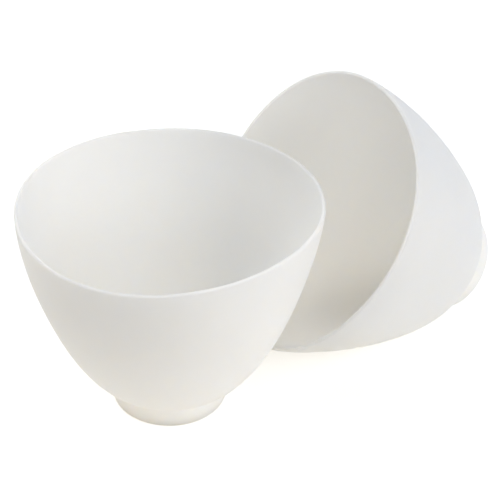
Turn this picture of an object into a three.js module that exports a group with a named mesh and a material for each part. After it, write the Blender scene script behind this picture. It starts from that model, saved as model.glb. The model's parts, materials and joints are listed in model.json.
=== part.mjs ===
// A pair of flexible mixing bowls, as used for stirring dental impression material and plaster.
// Each bowl is one soft moulding: a low round foot, a deep cup-shaped wall that thins towards the top,
// and a thin rounded lip. One bowl stands on its foot. Its twin lies tipped over beside it and rests on
// two places: the edge of its foot and its wall.
// Units are millimetres and degrees. +Z is up, the table is at z = 0, and the origin is the centre of
// the standing bowl's foot.

import * as THREE from 'three';

// The foot
const footRadius = 24.5;
const footHeight = 10.5;      // table to the corner where the wall flares out of the foot
const footEdgeRound = 0.8;    // rounding of the foot's bottom edge
const flareFillet = 1.4;      // rounding of the corner between the foot and the wall

// The wall, as the outside face of the bowl shows it
const rimRadius = 62.5;       // outside of the lip
const bowlHeight = 96;        // table to the top of the lip
const flareAngle = 16;        // slope of the wall where it leaves the foot, from the table's plane
const flareReach = 19.5;      // how far the wall keeps close to that slope
const lipAngle = 86;          // slope of the wall at the lip
const lipReach = 25;          // how far below the lip the wall stays close to that slope

// The thickness of the soft wall
const lipThickness = 1.6;
const baseThickness = 4;      // where the wall leaves the foot
const floorDip = 2.2;         // centre of the inside floor, below the start of the inside wall

// How the tipped bowl lies
const tippedBearing = 32.3;   // direction from the standing bowl to the tipped bowl's foot edge
const tippedHeading = 209.5;  // direction in which the tipped bowl's mouth points
const bowlGap = 1.1;          // level gap between the two bowls where they come closest

// Fineness of the faceted surfaces
const turnSteps = 72;         // around each bowl, a multiple of 4 so that a vertex faces the table
const wallSteps = 13;
const floorSteps = 5;
const roundSteps = 3;         // in each small rounding
const surfaceSteps = 180;     // around the tipped bowl, where its distance is worked out
const halvingSteps = 30;

const silicone = { color: 0xe8e7e1, roughness: 0.55, metalness: 0 };

const radians = THREE.MathUtils.degToRad;

// A point that lies a distance away from another, at an angle from the level
function stepFrom(point, angle, distance) {
  return new THREE.Vector2(
    point.x + distance * Math.cos(radians(angle)),
    point.y + distance * Math.sin(radians(angle)),
  );
}

// Points of a circular arc, both ends included
function arcPoints(centre, radius, startAngle, endAngle) {
  const points = [];
  for (let i = 0; i <= roundSteps; i++) {
    points.push(stepFrom(centre, startAngle + (endAngle - startAngle) * i / roundSteps, radius));
  }
  return points;
}

// Sections are drawn with x as the radius and y as the height
const lipRadius = lipThickness / 2;
const lipMiddle = new THREE.Vector2(rimRadius - lipRadius, bowlHeight - lipRadius);
const footCorner = new THREE.Vector2(footRadius, footHeight);
const edgeMiddle = new THREE.Vector2(footRadius - footEdgeRound, footEdgeRound);

// The outside of the wall, from the foot's corner to the lip
function outsideWall() {
  const top = stepFrom(lipMiddle, lipAngle - 90, lipRadius);
  return new THREE.CubicBezierCurve(
    footCorner,
    stepFrom(footCorner, flareAngle, flareReach),
    stepFrom(top, lipAngle, -lipReach),
    top,
  );
}

// The outside of the bowl, from the middle of the foot's underside to the crest of the lip
function outsidePoints(wall) {
  const filletEnd = flareFillet / (3 * flareReach);
  const underWall = stepFrom(footCorner, -90, flareFillet);
  const fillet = new THREE.QuadraticBezierCurve(underWall, footCorner, wall.getPoint(filletEnd));
  const points = [new THREE.Vector2(0, 0)];
  points.push(...arcPoints(edgeMiddle, footEdgeRound, -90, 0));
  points.push(...fillet.getPoints(roundSteps));
  for (let i = 1; i <= wallSteps; i++) {
    points.push(wall.getPoint(filletEnd + (1 - filletEnd) * i / wallSteps));
  }
  points.push(...arcPoints(lipMiddle, lipRadius, lipAngle - 90, 90).slice(1));
  return points;
}

// The inside of the wall is the outside moved inwards by the thickness, which grows from lip to base
function insideWallPoint(wall, t) {
  const thickness = baseThickness + (lipThickness - baseThickness) * t;
  const along = wall.getTangent(t);
  const face = wall.getPoint(t);
  return new THREE.Vector2(face.x - along.y * thickness, face.y + along.x * thickness);
}

// The inside of the bowl, from the crest of the lip down the wall and across the floor to the axis
function insidePoints(wall) {
  const points = arcPoints(lipMiddle, lipRadius, 90, lipAngle + 90).slice(1);
  for (let i = wallSteps - 1; i >= 0; i--) {
    points.push(insideWallPoint(wall, i / wallSteps));
  }
  const floorEdge = insideWallPoint(wall, 0);
  const floorHeight = floorEdge.y - floorDip;
  const floorBend = new THREE.Vector2(floorEdge.x - floorDip / Math.tan(radians(flareAngle)), floorHeight);
  const floor = new THREE.QuadraticBezierCurve(floorEdge, floorBend, new THREE.Vector2(0, floorHeight));
  points.push(...floor.getPoints(floorSteps).slice(1));
  return points;
}

// The tilt, in radians, at which a bowl rolled over the edge of its foot comes down on its wall.
// A wall point at a distance d and a slope b from the middle of the edge's rounding reaches the table
// at a tilt of b + asin(rounding / d), and the first point to get there carries the bowl.
function restingTilt(outside) {
  let tilt = Math.PI / 2;
  for (const point of outside) {
    if (point.x > footRadius) {
      const way = point.clone().sub(edgeMiddle);
      tilt = Math.min(tilt, way.angle() + Math.asin(footEdgeRound / way.length()));
    }
  }
  return tilt;
}

// The outside radius of a bowl at a height, or 0 above its lip
function radiusAt(outside, height) {
  let radius = 0;
  for (let i = 1; i < outside.length; i++) {
    const low = outside[i - 1];
    const high = outside[i];
    if (height >= low.y && height <= high.y && high.y > low.y) {
      const share = (height - low.y) / (high.y - low.y);
      radius = Math.max(radius, low.x + (high.x - low.x) * share);
    }
  }
  return radius;
}

// How far the foot edge of the tipped bowl lies from the origin, so that its wall and lip clear the
// standing bowl by bowlGap. The way along tippedBearing is found by halving.
function tippedDistance(outside, tilt) {
  const turn = new THREE.Matrix4().makeRotationZ(radians(tippedHeading));
  turn.multiply(new THREE.Matrix4().makeRotationY(tilt));
  const surface = [];
  for (const point of outside) {
    for (let i = 0; i < surfaceSteps; i++) {
      const angle = 2 * Math.PI * i / surfaceSteps;
      const x = point.x * Math.cos(angle) - edgeMiddle.x;
      const y = point.x * Math.sin(angle);
      surface.push(new THREE.Vector3(x, y, point.y - edgeMiddle.y).applyMatrix4(turn));
    }
  }
  const towards = new THREE.Vector2(1, 0).rotateAround(new THREE.Vector2(), radians(tippedBearing));
  let near = 0;
  let far = 3 * (rimRadius + bowlHeight);
  for (let step = 0; step < halvingSteps; step++) {
    const distance = (near + far) / 2;
    const clear = surface.every((point) => {
      const reach = Math.hypot(point.x + distance * towards.x, point.y + distance * towards.y);
      return reach >= radiusAt(outside, point.z + footEdgeRound) + bowlGap;
    });
    if (clear) {
      far = distance;
    } else {
      near = distance;
    }
  }
  return far;
}

// One bowl, standing on its foot with the middle of the foot at its own origin
function makeBowl(name, outline) {
  const geometry = new THREE.LatheGeometry(outline, turnSteps);
  geometry.rotateX(Math.PI / 2);
  const bowl = new THREE.Mesh(geometry, new THREE.MeshStandardMaterial(silicone));
  bowl.name = name;
  return bowl;
}

const wall = outsideWall();
const outside = outsidePoints(wall);
const section = [...outside, ...insidePoints(wall)];
const pair = new THREE.Group();

pair.add(makeBowl('standing_bowl', section));

// The tipped bowl turns about the middle of the rounding of its foot's edge, where it touches the table
const tilt = restingTilt(outside);
const distance = tippedDistance(outside, tilt);
const footEdge = new THREE.Group();
footEdge.position.set(
  distance * Math.cos(radians(tippedBearing)),
  distance * Math.sin(radians(tippedBearing)),
  footEdgeRound,
);
footEdge.rotation.z = radians(tippedHeading);
const tippedOver = new THREE.Group();
tippedOver.rotation.y = tilt;
const tippedBowl = makeBowl('tipped_bowl', section);
tippedBowl.position.set(-edgeMiddle.x, 0, -edgeMiddle.y);
tippedOver.add(tippedBowl);
footEdge.add(tippedOver);
pair.add(footEdge);

export default pair;
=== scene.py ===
# %% [markdown]
# A pair of soft mixing bowls
#
# The object is a pair of flexible mixing bowls in milky white silicone, the kind in which dental
# impression material is stirred. One stands on its foot. Its twin lies tipped over beside it, on the
# edge of its foot and on its wall. Each bowl is one moulding, so the lesson is about one surface done
# well: a section turned round an axis, made slightly soft and uneven as silicone is, and a finish that
# lets a little light in.
#
# The CAD model gives the sizes and the places. It is loaded first, and nothing in it is moved.

# %% Load the frame and keep its box
import json
import math

import bpy
import numpy as np
from mathutils import Matrix, Vector


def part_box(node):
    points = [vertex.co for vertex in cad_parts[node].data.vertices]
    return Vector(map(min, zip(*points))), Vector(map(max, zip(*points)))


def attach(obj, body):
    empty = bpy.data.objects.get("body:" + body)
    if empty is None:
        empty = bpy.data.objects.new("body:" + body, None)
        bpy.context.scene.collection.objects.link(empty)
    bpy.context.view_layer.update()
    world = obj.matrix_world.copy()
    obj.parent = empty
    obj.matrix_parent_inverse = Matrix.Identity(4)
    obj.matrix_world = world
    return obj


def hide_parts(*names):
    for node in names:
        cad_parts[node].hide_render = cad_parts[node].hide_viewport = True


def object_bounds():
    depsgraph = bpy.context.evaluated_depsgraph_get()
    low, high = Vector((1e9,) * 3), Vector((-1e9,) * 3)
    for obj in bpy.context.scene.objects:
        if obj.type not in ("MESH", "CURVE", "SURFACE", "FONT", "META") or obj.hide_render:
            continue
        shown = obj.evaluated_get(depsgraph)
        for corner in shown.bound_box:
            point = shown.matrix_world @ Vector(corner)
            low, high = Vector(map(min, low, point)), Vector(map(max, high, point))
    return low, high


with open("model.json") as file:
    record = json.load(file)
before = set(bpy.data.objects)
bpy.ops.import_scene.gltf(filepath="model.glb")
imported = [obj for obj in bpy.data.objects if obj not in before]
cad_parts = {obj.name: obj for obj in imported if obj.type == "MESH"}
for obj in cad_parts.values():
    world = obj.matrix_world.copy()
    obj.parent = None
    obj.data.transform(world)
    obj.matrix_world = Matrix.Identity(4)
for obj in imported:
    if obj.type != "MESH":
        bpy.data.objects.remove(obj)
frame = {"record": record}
cad_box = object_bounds()
mounts = {mount["name"]: mount for mount in frame["record"]["mounts"]}

# %% [markdown]
# Where the camera stands
#
# A pinhole camera was fitted to the outlines of both bowls in the photograph. It looks along +Y,
# 33.8 degrees down, from 0.6 m away, and is rolled by 2 degrees. It is easiest to say where the
# camera sees the origin, which is the centre of the standing bowl's foot, and to work its own place
# out from that.

# %% The camera
VIEW_DOWN = math.radians(33.8)
VIEW_ROLL = math.radians(1.96)
LENS_MM = 96.6
SENSOR_MM = 36.0
ORIGIN_IN_VIEW = Vector((-0.0350, -0.0610, -0.5878))    # right, up and back, as the camera sees it


def add_camera():
    """The camera's axes are the level ones turned down and then rolled. Its place is minus the
    origin's place in the view, carried back into the room by those axes."""
    level = Matrix.Rotation(math.radians(90), 3, "X")
    axes = level @ Matrix.Rotation(-VIEW_DOWN, 3, "X") @ Matrix.Rotation(VIEW_ROLL, 3, "Z")
    place = -(axes @ ORIGIN_IN_VIEW)
    lens = bpy.data.cameras.new("camera")
    lens.lens = LENS_MM
    lens.sensor_width = SENSOR_MM
    lens.sensor_fit = "HORIZONTAL"
    camera = bpy.data.objects.new("camera", lens)
    camera.matrix_world = Matrix.Translation(place) @ axes.to_4x4()
    bpy.context.scene.collection.objects.link(camera)
    bpy.context.scene.camera = camera
    return camera


camera = add_camera()
print("camera at", [round(v, 4) for v in camera.matrix_world.translation])

# %% [markdown]
# Sizes of one bowl
#
# All lengths are in metres and measured in the bowl's own frame: the origin is the centre of its foot
# and z runs up its axis. The frame's box gives the width and the height, and the other sizes are those
# of the CAD model, because the finer surface has to lie on it.

# %% Sizes
MILLIMETRE = 0.001
foot_low, lip_high = (np.array(corner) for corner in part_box("standing_bowl"))
RIM_RADIUS = float(round((lip_high[1] - foot_low[1]) / 2, 4))
BOWL_HEIGHT = float(round(lip_high[2] - foot_low[2], 4))
FOOT_RADIUS = 0.0245
FOOT_HEIGHT = 0.0105
FOOT_EDGE_ROUND = 0.0008
FLARE_FILLET = 0.0014
FLARE_SLOPE = math.radians(16)
FLARE_REACH = 0.0195
LIP_SLOPE = math.radians(86)
LIP_REACH = 0.025
LIP_THICKNESS = 0.0016
BASE_THICKNESS = 0.004
FLOOR_DIP = 0.0022
print("rim radius", RIM_RADIUS, "height", BOWL_HEIGHT)

# %% [markdown]
# The section
#
# A turned shape needs only its section. Ours runs from the middle of the foot's underside, round the
# foot's edge, up the outside, over the lip, down the inside and across the floor to the axis. Each
# stretch is a short curve with a formula, so the corners stay smooth at any fineness.

# %% Curves for the section
def step(start, angle, distance):
    """A point at a distance and an angle from another: (r + d cos a, z + d sin a)."""
    return np.array([start[0] + distance * math.cos(angle), start[1] + distance * math.sin(angle)])


def arc(middle, radius, start, end, count):
    """Points of a circle about a middle, from one angle to another, in even steps."""
    angle = np.linspace(start, end, count)[:, None]
    return np.array(middle) + radius * np.hstack([np.cos(angle), np.sin(angle)])


def bezier(corners, t):
    """A Bezier curve: the corners blended by the terms of ((1 - t) + t) to their number less one."""
    n = len(corners) - 1
    t = np.asarray(t)[:, None]
    terms = (math.comb(n, k) * (1 - t) ** (n - k) * t ** k * np.array(p) for k, p in enumerate(corners))
    return sum(terms)


def bezier_slope(corners, t):
    """The direction of a Bezier curve, which is the Bezier curve of its corners' differences."""
    way = bezier(np.diff(np.array(corners), axis=0), t)
    return way / np.linalg.norm(way, axis=1, keepdims=True)


# %% The outside of the wall
lip_radius = LIP_THICKNESS / 2
lip_middle = np.array([RIM_RADIUS - lip_radius, BOWL_HEIGHT - lip_radius])
foot_corner = np.array([FOOT_RADIUS, FOOT_HEIGHT])
wall_top = step(lip_middle, LIP_SLOPE - math.pi / 2, lip_radius)
wall_corners = [
    foot_corner,
    step(foot_corner, FLARE_SLOPE, FLARE_REACH),
    step(wall_top, LIP_SLOPE, -LIP_REACH),
    wall_top,
]
print("wall runs from", foot_corner, "to", wall_top.round(4))

# %% [markdown]
# The underside of the foot
#
# The foot rests on the table, so most of its underside stays flat. A moulded foot has two small marks:
# a shallow groove where the tool's insert meets the mould, and a round dimple where the silicone was
# let in. Both are a few tenths of a millimetre deep and are cut upwards into the flat.

# %% Marks under the foot
GROOVE_RADIUS = 0.0178
GROOVE_WIDTH = 0.0009
GROOVE_DEPTH = 0.0003
GATE_RADIUS = 0.0026
GATE_DEPTH = 0.0004
GATE_EDGE = GATE_RADIUS / 12      # how soft the dimple's edge is


def underside(count):
    """The flat underside from the axis outwards, lifted by a groove and a dimple. With d the distance
    from each one's radius, the groove is its depth times exp(-(d / half its width) squared), and the
    dimple is its depth over 1 + exp(d / edge)."""
    radius = np.linspace(0, FOOT_RADIUS - FOOT_EDGE_ROUND, count)
    groove = GROOVE_DEPTH * np.exp(-((radius - GROOVE_RADIUS) / (GROOVE_WIDTH / 2)) ** 2)
    gate = GATE_DEPTH / (1 + np.exp((radius - GATE_RADIUS) / GATE_EDGE))
    return np.column_stack([radius, groove + gate])


# %% The whole section
UNDERSIDE_POINTS = 60
ROUND_POINTS = 7
FOOT_SIDE_POINTS = 6
WALL_POINTS = 64
FLOOR_POINTS = 20


def bowl_section():
    """All stretches of the section joined end to end, with each joint's double point left out."""
    fillet_end = FLARE_FILLET / (3 * FLARE_REACH)     # a cubic sets off at 3 times its first reach
    t = np.linspace(fillet_end, 1, WALL_POINTS)
    wall = bezier(wall_corners, t)
    edge_middle = (FOOT_RADIUS - FOOT_EDGE_ROUND, FOOT_EDGE_ROUND)
    edge = arc(edge_middle, FOOT_EDGE_ROUND, -math.pi / 2, 0, ROUND_POINTS)
    fillet_start = step(foot_corner, -math.pi / 2, FLARE_FILLET)
    side = np.linspace(edge[-1], fillet_start, FOOT_SIDE_POINTS)
    fillet = bezier([fillet_start, foot_corner, wall[0]], np.linspace(0, 1, ROUND_POINTS))
    lip = arc(lip_middle, lip_radius, LIP_SLOPE - math.pi / 2, LIP_SLOPE + math.pi / 2, 2 * ROUND_POINTS)

    t = np.linspace(1, 0, WALL_POINTS)
    thickness = BASE_THICKNESS + (LIP_THICKNESS - BASE_THICKNESS) * t[:, None]
    along = bezier_slope(wall_corners, t)
    inside = bezier(wall_corners, t) + thickness * np.column_stack([-along[:, 1], along[:, 0]])

    floor_edge = inside[-1]
    floor_height = floor_edge[1] - FLOOR_DIP
    bend = (floor_edge[0] - FLOOR_DIP / math.tan(FLARE_SLOPE), floor_height)
    floor = bezier([floor_edge, bend, (0, floor_height)], np.linspace(0, 1, FLOOR_POINTS))

    stretches = [underside(UNDERSIDE_POINTS), edge, side, fillet, wall, lip, inside, floor]
    return np.vstack([stretches[0]] + [stretch[1:] for stretch in stretches[1:]])


section = bowl_section()
floor_above_table = round(float(section[-1, 1]) / MILLIMETRE, 2)
print("section points:", len(section), "inside floor at", floor_above_table, "mm")

# %% [markdown]
# Soft silicone is never quite round
#
# The far side of each lip in the photograph follows a circle, but the near side sags and swells by a
# millimetre or two. Such a shape is a sum of a few slow waves round the rim: two and three swells per
# turn, both in radius and in height. They are strong at the lip and die out down the wall, because the
# thick base holds its shape. A much weaker set of waves leaves the wall slightly uneven, which is what
# breaks up the light on a real one.

# %% The waves of the lip and the wall
STANDING_WAVES = {
    "radius": [(2, -0.70, 1.00), (3, 0.81, 0.84)],
    "height": [(2, -0.14, 0.09), (3, -0.35, -0.08)],
}
TIPPED_WAVES = {
    "radius": [(2, -0.15, 0.57), (3, 0.87, 0.22)],
    "height": [(2, -0.80, -0.22), (3, -0.88, 0.05)],
}
LIP_TRIM_WAVES = [(7, 0.05, -0.04), (11, -0.04, 0.03), (19, 0.02, 0.03)]
WALL_WAVES = [(0.06, 4, 7, 1), (0.05, 6, -11, 2)]     # size in mm, swells per turn n, climb and k
WAVE_FADE = 3.0
TRIM_FADE = 4


def swell(waves, angle):
    """The sum of a cos(n angle) + b sin(n angle) over the waves (n, a, b), a and b in millimetres."""
    return MILLIMETRE * sum(a * np.cos(n * angle) + b * np.sin(n * angle) for n, a, b in waves)


def soften(radius, height, angle, waves, phase):
    """Moves a turned surface by its waves. Their share is the height above the foot, as a part of the
    wall's height, to the power of WAVE_FADE. The wall's own unevenness is the sum of size times
    sin(n times the angle + climb times the height + k times the phase), and dies out at the foot and
    the lip. The trim's small waves show at the lip alone."""
    up = np.clip((height - FOOT_HEIGHT) / (BOWL_HEIGHT - FOOT_HEIGHT), 0, 1)
    share = up ** WAVE_FADE
    swells = (size * np.sin(n * angle + climb * up + k * phase) for size, n, climb, k in WALL_WAVES)
    uneven = MILLIMETRE * sum(swells) * np.sin(math.pi * up)
    trim = swell(LIP_TRIM_WAVES, angle + phase) * share ** TRIM_FADE
    radius = radius + share * swell(waves["radius"], angle) + uneven
    height = height + share * swell(waves["height"], angle) + trim
    return radius, height


# %% [markdown]
# From a section to a mesh
#
# The section and the angle are the two parameters of a grid. The first and the last point of the
# section lie on the axis, so each becomes one vertex with a fan of triangles, and the rows between
# them are joined by quads. The winding is chosen so that the faces look outwards.

# %% Turn the section round the axis
TURN_POINTS = 288


def turned_grid(waves, phase):
    """Rows of points (r cos a, r sin a, z), with the softening waves added to r and z."""
    angle = np.linspace(0, 2 * math.pi, TURN_POINTS, endpoint=False)[None, :]
    radius, height = section[1:-1, :1], section[1:-1, 1:]
    radius, height = soften(radius, height, angle, waves, phase)
    return np.stack([radius * np.cos(angle), radius * np.sin(angle), height], axis=-1)


def turned_faces(rows):
    """Quads between neighbouring rows and a fan at each pole. Vertex 0 is the lower pole, the last
    vertex is the upper one, and row i starts at 1 + i times the number of points in a turn."""
    here = np.arange(TURN_POINTS)
    after = (here + 1) % TURN_POINTS
    start = 1 + TURN_POINTS * np.arange(rows - 1)[:, None]
    above = start + TURN_POINTS
    quads = np.stack([start + here, start + after, above + after, above + here], axis=-1)
    last_row = 1 + TURN_POINTS * (rows - 1)
    lower_pole = np.zeros_like(here)
    upper_pole = np.full_like(here, last_row + TURN_POINTS)
    low_fan = np.stack([lower_pole, 1 + after, 1 + here], axis=-1)
    high_fan = np.stack([last_row + here, last_row + after, upper_pole], axis=-1)
    return quads.reshape(-1, 4), np.vstack([low_fan, high_fan])


def bowl_frame(mount, side):
    """A bowl's own frame from its foot's mount: z against the mount's axis, x as near as can be to
    the given side, and y square to both."""
    up = -Vector(mount["axis"]).normalized()
    across = (side - up * side.dot(up)).normalized()
    return Matrix((across, up.cross(across), up)).transposed(), Vector(mount["pos_m"])


def bowl_points(mount, side, waves, phase):
    """All points of a bowl, from the lower pole by rows to the upper one, carried to its mount."""
    grid = turned_grid(waves, phase)
    poles = np.array([[0, 0, section[0, 1]], [0, 0, section[-1, 1]]])
    points = np.vstack([poles[:1], grid.reshape(-1, 3), poles[1:]])
    axes, place = bowl_frame(mount, side)
    return points @ np.array(axes).T + np.array(place)


# %% Fill a mesh and make a bowl
def add_mesh(name, points, quads, fans):
    """A new object at the origin. The mesh lists the corners of all faces, quads first, and where
    each face starts in that list."""
    mesh = bpy.data.meshes.new(name)
    mesh.vertices.add(len(points))
    mesh.vertices.foreach_set("co", points.ravel())
    mesh.loops.add(quads.size + fans.size)
    mesh.loops.foreach_set("vertex_index", np.concatenate([quads.ravel(), fans.ravel()]))
    mesh.polygons.add(len(quads) + len(fans))
    starts = np.concatenate([4 * np.arange(len(quads)), quads.size + 3 * np.arange(len(fans))])
    mesh.polygons.foreach_set("loop_start", starts)
    mesh.update(calc_edges=True)
    mesh.validate()
    mesh.shade_smooth()
    piece = bpy.data.objects.new(name, mesh)
    bpy.context.scene.collection.objects.link(piece)
    return piece


def make_bowl(name, mount, side, waves, phase):
    """One bowl in place: its object stays at the origin, unturned. The section's first and last
    points are the poles, and the others are rows."""
    points = bowl_points(mount, side, waves, phase)
    quads, fans = turned_faces(rows=len(section) - 2)
    bowl = add_mesh(name, points, quads, fans)
    lowest = round(float(points[:, 2].min()) / MILLIMETRE, 2)
    print(name, "faces:", len(bowl.data.polygons), "lowest point:", lowest, "mm")
    return bowl


# %% [markdown]
# The two bowls
#
# Both come from the same section. The standing one is turned about +Z. The tipped one takes its place
# and its axis from the mount on its foot, and its own x points down to the table, so that its waves
# start at the side it lies on. A phase turns the small waves, so that the twins aren't quite alike.

# %% Make both bowls
STANDING_PHASE = 0.4
TIPPED_PHASE = 2.1
STANDING_SIDE = Vector((1, 0, 0))
TIPPED_SIDE = Vector((0, 0, -1))
standing = make_bowl(
    "soft_standing_bowl", mounts["standing_foot"], STANDING_SIDE, STANDING_WAVES, STANDING_PHASE)
tipped = make_bowl(
    "soft_tipped_bowl", mounts["tipped_foot"], TIPPED_SIDE, TIPPED_WAVES, TIPPED_PHASE)

# %% [markdown]
# The silicone
#
# Filled silicone rubber is a warm, milky white. Light gets in, spreads by about 15 mm and comes out
# again, which softens the shade inside the bowl and lightens the thin lip. Its skin is satin, as the
# mould was blasted: a fine grain breaks up the highlight. Handling leaves it a little uneven in gloss,
# and fine dust clings to it, so the colour drifts by a percent or two.

# %% The silicone's colours and grain
MILKY_WHITE = (0.926, 0.923, 0.904, 1)
DUSTY_WHITE = (0.916, 0.910, 0.886, 1)
DUSTY_BELOW, CLEAN_ABOVE = 0.3, 0.65      # levels of the cloud noise at which the two whites are pure
CLOUD_SIZE = 0.03
CLOUD_DETAIL = 4
GLOSS_RANGE = (0.58, 0.72)
GRAIN_SIZE = 0.00035
GRAIN_DETAIL = 2
GRAIN_HEIGHT = 0.000012
GRAIN_STRENGTH = 0.5
SILICONE_IOR = 1.41
LIGHT_REACH = (1.0, 0.88, 0.72)     # how far red, green and blue light spread, as parts of the scale
LIGHT_REACH_SCALE = 0.015


def add_noise(nodes, links, place, size, detail):
    """A noise whose lumps are about the given size across."""
    noise = nodes.new("ShaderNodeTexNoise")
    noise.inputs["Scale"].default_value = 1 / size
    noise.inputs["Detail"].default_value = detail
    links.new(place.outputs["Object"], noise.inputs["Vector"])
    return noise


def add_clouds(nodes, links, place, shader):
    """Faint clouds that carry the colour between two near whites, and the gloss with it."""
    clouds = add_noise(nodes, links, place, CLOUD_SIZE, CLOUD_DETAIL)
    colours = nodes.new("ShaderNodeValToRGB")
    dusty, clean = colours.color_ramp.elements
    dusty.position, dusty.color = DUSTY_BELOW, DUSTY_WHITE
    clean.position, clean.color = CLEAN_ABOVE, MILKY_WHITE
    links.new(clouds.outputs["Fac"], colours.inputs["Fac"])
    links.new(colours.outputs["Color"], shader.inputs["Base Color"])

    gloss = nodes.new("ShaderNodeMapRange")
    gloss.inputs["To Min"].default_value, gloss.inputs["To Max"].default_value = GLOSS_RANGE
    links.new(clouds.outputs["Fac"], gloss.inputs["Value"])
    links.new(gloss.outputs["Result"], shader.inputs["Roughness"])


def add_grain(nodes, links, place, shader):
    """The fine grain of a blasted mould, as a bump."""
    grain = add_noise(nodes, links, place, GRAIN_SIZE, GRAIN_DETAIL)
    bump = nodes.new("ShaderNodeBump")
    bump.inputs["Strength"].default_value = GRAIN_STRENGTH
    bump.inputs["Distance"].default_value = GRAIN_HEIGHT
    links.new(grain.outputs["Fac"], bump.inputs["Height"])
    links.new(bump.outputs["Normal"], shader.inputs["Normal"])


# %% The silicone itself
def silicone_material():
    """Milky silicone: cloudy colour and gloss, a fine grain, and light let in all over."""
    material = bpy.data.materials.new("milky_silicone")
    material.use_nodes = True
    nodes, links = material.node_tree.nodes, material.node_tree.links
    shader = nodes["Principled BSDF"]
    place = nodes.new("ShaderNodeTexCoord")
    add_clouds(nodes, links, place, shader)
    add_grain(nodes, links, place, shader)
    shader.inputs["IOR"].default_value = SILICONE_IOR
    shader.inputs["Subsurface Weight"].default_value = 1.0
    shader.inputs["Subsurface Radius"].default_value = LIGHT_REACH
    shader.inputs["Subsurface Scale"].default_value = LIGHT_REACH_SCALE
    return material


silicone = silicone_material()
standing.data.materials.append(silicone)
tipped.data.materials.append(silicone)
print("material:", silicone.name, "with", len(silicone.node_tree.nodes), "nodes")

# %% [markdown]
# Which body each bowl rides on
#
# Each fine surface stands for one CAD bowl, takes that bowl's place in the picture and moves with it.

# %% Ride and replace
for bowl, body, node in ((standing, "standing", "standing_bowl"), (tipped, "tipped", "tipped_bowl")):
    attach(bowl, body)
    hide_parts(node)
    print(bowl.name, "rides on", body, "and replaces", node)

# %% [markdown]
# Floor and light
#
# The photograph is a cut-out on pure white, and its light comes from nearly all round: from the right,
# the left, behind and above, weakest from the front left, and much of it from below, off a bright
# white table. Ten wide soft lamps and a faintly glowing floor do the same.
#
# The near wall is darkest just under the lip, and lighter towards the foot. A table that ends close in
# front of the bowls would explain it: the low part of the wall looks down on white, and the part under
# the lip looks out over the edge at a dark room. The floor is therefore a board with a near edge, not a
# wide plane. Light that only the camera sees, directly or in gloss, brings it to full white. It is
# weaker round the bowls, so that their soft shadows stay, and past the board the camera sees a world
# of the same white.

# %% The floor
FLOOR_SIZE = 0.8
FLOOR_NEAR_EDGE = -0.14      # where the board ends on the camera's side, along Y
FLOOR_LEVEL = -0.0002
WHITE = (1, 1, 1, 1)
FLOOR_COLOUR = (0.86, 0.86, 0.86, 1)
FLOOR_GLOW = (1.0, 0.8, 0.4, 1)
FLOOR_GLOW_STRENGTH = 0.137
FLOOR_LIFT_NEAR, FLOOR_LIFT_FAR = 0.4, 1.0
LIFT_GROWS_FROM, LIFT_GROWS_TO = 0.25, 0.8      # distance from the origin along the floor
MIX_A, MIX_B, MIX_RESULT = 6, 7, 2      # a Mix node's colour sockets, whose names aren't theirs alone


def camera_share(nodes, links):
    """1 for what the camera sees directly or in gloss or glass, 0 for light that falls on things."""
    path = nodes.new("ShaderNodeLightPath")
    first = nodes.new("ShaderNodeMath")
    first.operation = "MAXIMUM"
    links.new(path.outputs["Is Camera Ray"], first.inputs[0])
    links.new(path.outputs["Is Glossy Ray"], first.inputs[1])
    both = nodes.new("ShaderNodeMath")
    both.operation = "MAXIMUM"
    links.new(first.outputs["Value"], both.inputs[0])
    links.new(path.outputs["Is Transmission Ray"], both.inputs[1])
    return both


def floor_lift(nodes, links):
    """The strength of the light that the camera alone sees. It grows with the distance from the
    origin by a smooth step, from the near value to the far one."""
    place = nodes.new("ShaderNodeTexCoord")
    distance = nodes.new("ShaderNodeVectorMath")
    distance.operation = "LENGTH"
    links.new(place.outputs["Object"], distance.inputs[0])
    lift = nodes.new("ShaderNodeMapRange")
    lift.interpolation_type = "SMOOTHSTEP"
    lift.inputs["From Min"].default_value = LIFT_GROWS_FROM
    lift.inputs["From Max"].default_value = LIFT_GROWS_TO
    lift.inputs["To Min"].default_value = FLOOR_LIFT_NEAR
    lift.inputs["To Max"].default_value = FLOOR_LIFT_FAR
    links.new(distance.outputs["Value"], lift.inputs["Value"])
    return lift


# %% The floor's white and the board
def floor_material():
    """A matt white. Its own light is warm and weak, and white and stronger where the camera sees it."""
    material = bpy.data.materials.new("floor_white")
    material.use_nodes = True
    nodes, links = material.node_tree.nodes, material.node_tree.links
    shader = nodes["Principled BSDF"]
    shader.inputs["Base Color"].default_value = FLOOR_COLOUR
    shader.inputs["Roughness"].default_value = 1.0
    shader.inputs["Specular IOR Level"].default_value = 0.0
    seen = camera_share(nodes, links)
    strength = nodes.new("ShaderNodeMapRange")
    strength.inputs["To Min"].default_value = FLOOR_GLOW_STRENGTH
    links.new(floor_lift(nodes, links).outputs["Result"], strength.inputs["To Max"])
    links.new(seen.outputs["Value"], strength.inputs["Value"])
    links.new(strength.outputs["Result"], shader.inputs["Emission Strength"])
    colour = nodes.new("ShaderNodeMix")
    colour.data_type = "RGBA"
    colour.inputs[MIX_A].default_value = FLOOR_GLOW
    colour.inputs[MIX_B].default_value = WHITE
    links.new(seen.outputs["Value"], colour.inputs["Factor"])
    links.new(colour.outputs[MIX_RESULT], shader.inputs["Emission Color"])
    return material


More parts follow.
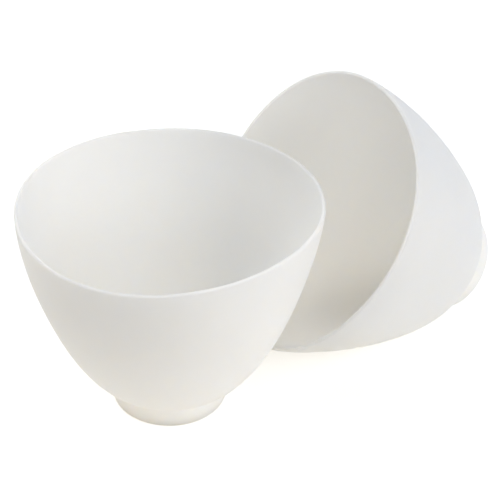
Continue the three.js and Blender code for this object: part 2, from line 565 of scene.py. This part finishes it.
def add_floor():
    """A square board a hair below the bowls, which starts at its near edge."""
    half = FLOOR_SIZE / 2
    near, far = FLOOR_NEAR_EDGE, FLOOR_NEAR_EDGE + FLOOR_SIZE
    corners = [(-half, near), (half, near), (half, far), (-half, far)]
    mesh = bpy.data.meshes.new("floor")
    mesh.from_pydata([(x, y, FLOOR_LEVEL) for x, y in corners], [], [(0, 1, 2, 3)])
    mesh.materials.append(floor_material())
    floor = bpy.data.objects.new("floor", mesh)
    bpy.context.scene.collection.objects.link(floor)
    print("floor corners:", corners)


add_floor()

# %% [markdown]
# The lamps
#
# Each lamp has a bearing round the pair, from 0 on the right over 90 behind to 270 in front, and a
# height angle above the table. All stand 1.4 m away and look at the middle of the pair. Their powers
# and tints come from a fit to the photograph's shading, done with one small render for each lamp. The
# world is white to the camera past the floor, directly and in gloss, and gives no other light.

# %% The lamps and the world
LAMP_DISTANCE = 1.4
LAMPS = {
    "right_low": {"bearing": 0, "height": 14, "size": 0.6, "power": 5.3,
        "colour": (0.97, 0.97, 1.0)},
    "behind_right_low": {"bearing": 45, "height": 14, "size": 0.6, "power": 2,
        "colour": (0.75, 0.86, 1.0)},
    "behind_high": {"bearing": 90, "height": 50, "size": 1, "power": 3,
        "colour": (0.96, 0.98, 1.0)},
    "behind_left_low": {"bearing": 135, "height": 14, "size": 0.6, "power": 2.3,
        "colour": (0.9, 0.97, 1.0)},
    "behind_left_high": {"bearing": 135, "height": 50, "size": 1, "power": 5.4,
        "colour": (1.0, 1.0, 1.0)},
    "left": {"bearing": 180, "height": 30, "size": 0.8, "power": 5.7,
        "colour": (1.0, 0.95, 0.87)},
    "front_low": {"bearing": 270, "height": 14, "size": 0.6, "power": 3.6,
        "colour": (1.0, 0.94, 0.87)},
    "front": {"bearing": 270, "height": 30, "size": 0.8, "power": 2.4,
        "colour": (1.0, 0.95, 0.88)},
    "front_right": {"bearing": 315, "height": 30, "size": 0.8, "power": 5.7,
        "colour": (0.9, 0.94, 1.0)},
    "overhead": {"bearing": 0, "height": 90, "size": 1, "power": 4.2,
        "colour": (1.0, 1.0, 1.0)},
}


def light_world():
    """White where the camera looks past the floor, directly or in gloss, and no other light."""
    world = bpy.data.worlds.new("world")
    bpy.context.scene.world = world
    world.use_nodes = True
    nodes, links = world.node_tree.nodes, world.node_tree.links
    links.new(camera_share(nodes, links).outputs["Value"], nodes["Background"].inputs["Strength"])
    nodes["Background"].inputs["Color"].default_value = WHITE


def add_lamp(name, bearing, height, size, power, colour):
    """A square area lamp that looks at the middle of the pair."""
    light = bpy.data.lights.new(name, "AREA")
    light.size = size
    light.energy = power
    light.color = colour
    lamp = bpy.data.objects.new(name, light)
    middle = (Vector(cad_box[0]) + Vector(cad_box[1])) / 2
    turn, rise = math.radians(bearing), math.radians(height)
    level = LAMP_DISTANCE * math.cos(rise)
    away = Vector((level * math.cos(turn), level * math.sin(turn), LAMP_DISTANCE * math.sin(rise)))
    lamp.location = middle + away
    lamp.rotation_euler = away.to_track_quat("Z", "Y").to_euler()
    bpy.context.scene.collection.objects.link(lamp)


light_world()
for name, values in LAMPS.items():
    add_lamp(name, **values)
bpy.context.scene.view_settings.view_transform = "Standard"
total_power = sum(values["power"] for values in LAMPS.values())
print("lamps:", len(LAMPS), "total power:", round(total_power, 1), "W")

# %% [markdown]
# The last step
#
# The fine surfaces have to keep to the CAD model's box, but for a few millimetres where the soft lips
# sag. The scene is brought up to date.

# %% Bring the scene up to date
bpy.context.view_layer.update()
